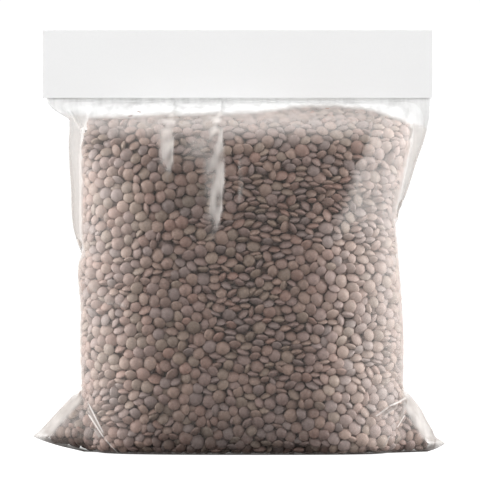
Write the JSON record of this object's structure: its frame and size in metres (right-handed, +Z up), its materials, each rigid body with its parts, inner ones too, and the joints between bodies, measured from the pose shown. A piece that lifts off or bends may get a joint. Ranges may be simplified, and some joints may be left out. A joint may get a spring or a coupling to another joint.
{
  "type": "bag of lentils",
  "caption": "Clear film bag packed full of dried brown lentils, standing upright on its flattened bottom, closed at the top by a blank card folded over its flat neck.",
  "frame": {"origin": "on the table, at the middle of the bag's bounding box seen from above", "axes": "+Z up, +Y from the front panel to the back panel, +X across the bag along the header card"},
  "size_m": [0.186, 0.0646, 0.1907],
  "materials": {
    "lentils_in_film": "brown lentils seen through clear, slightly hazy plastic film",
    "card": "plain pale grey uncoated card"
  },
  "bodies": {
    "root": {"lentil_bag": "lentils_in_film", "header_card": "card"}
  },
  "joints": []
}
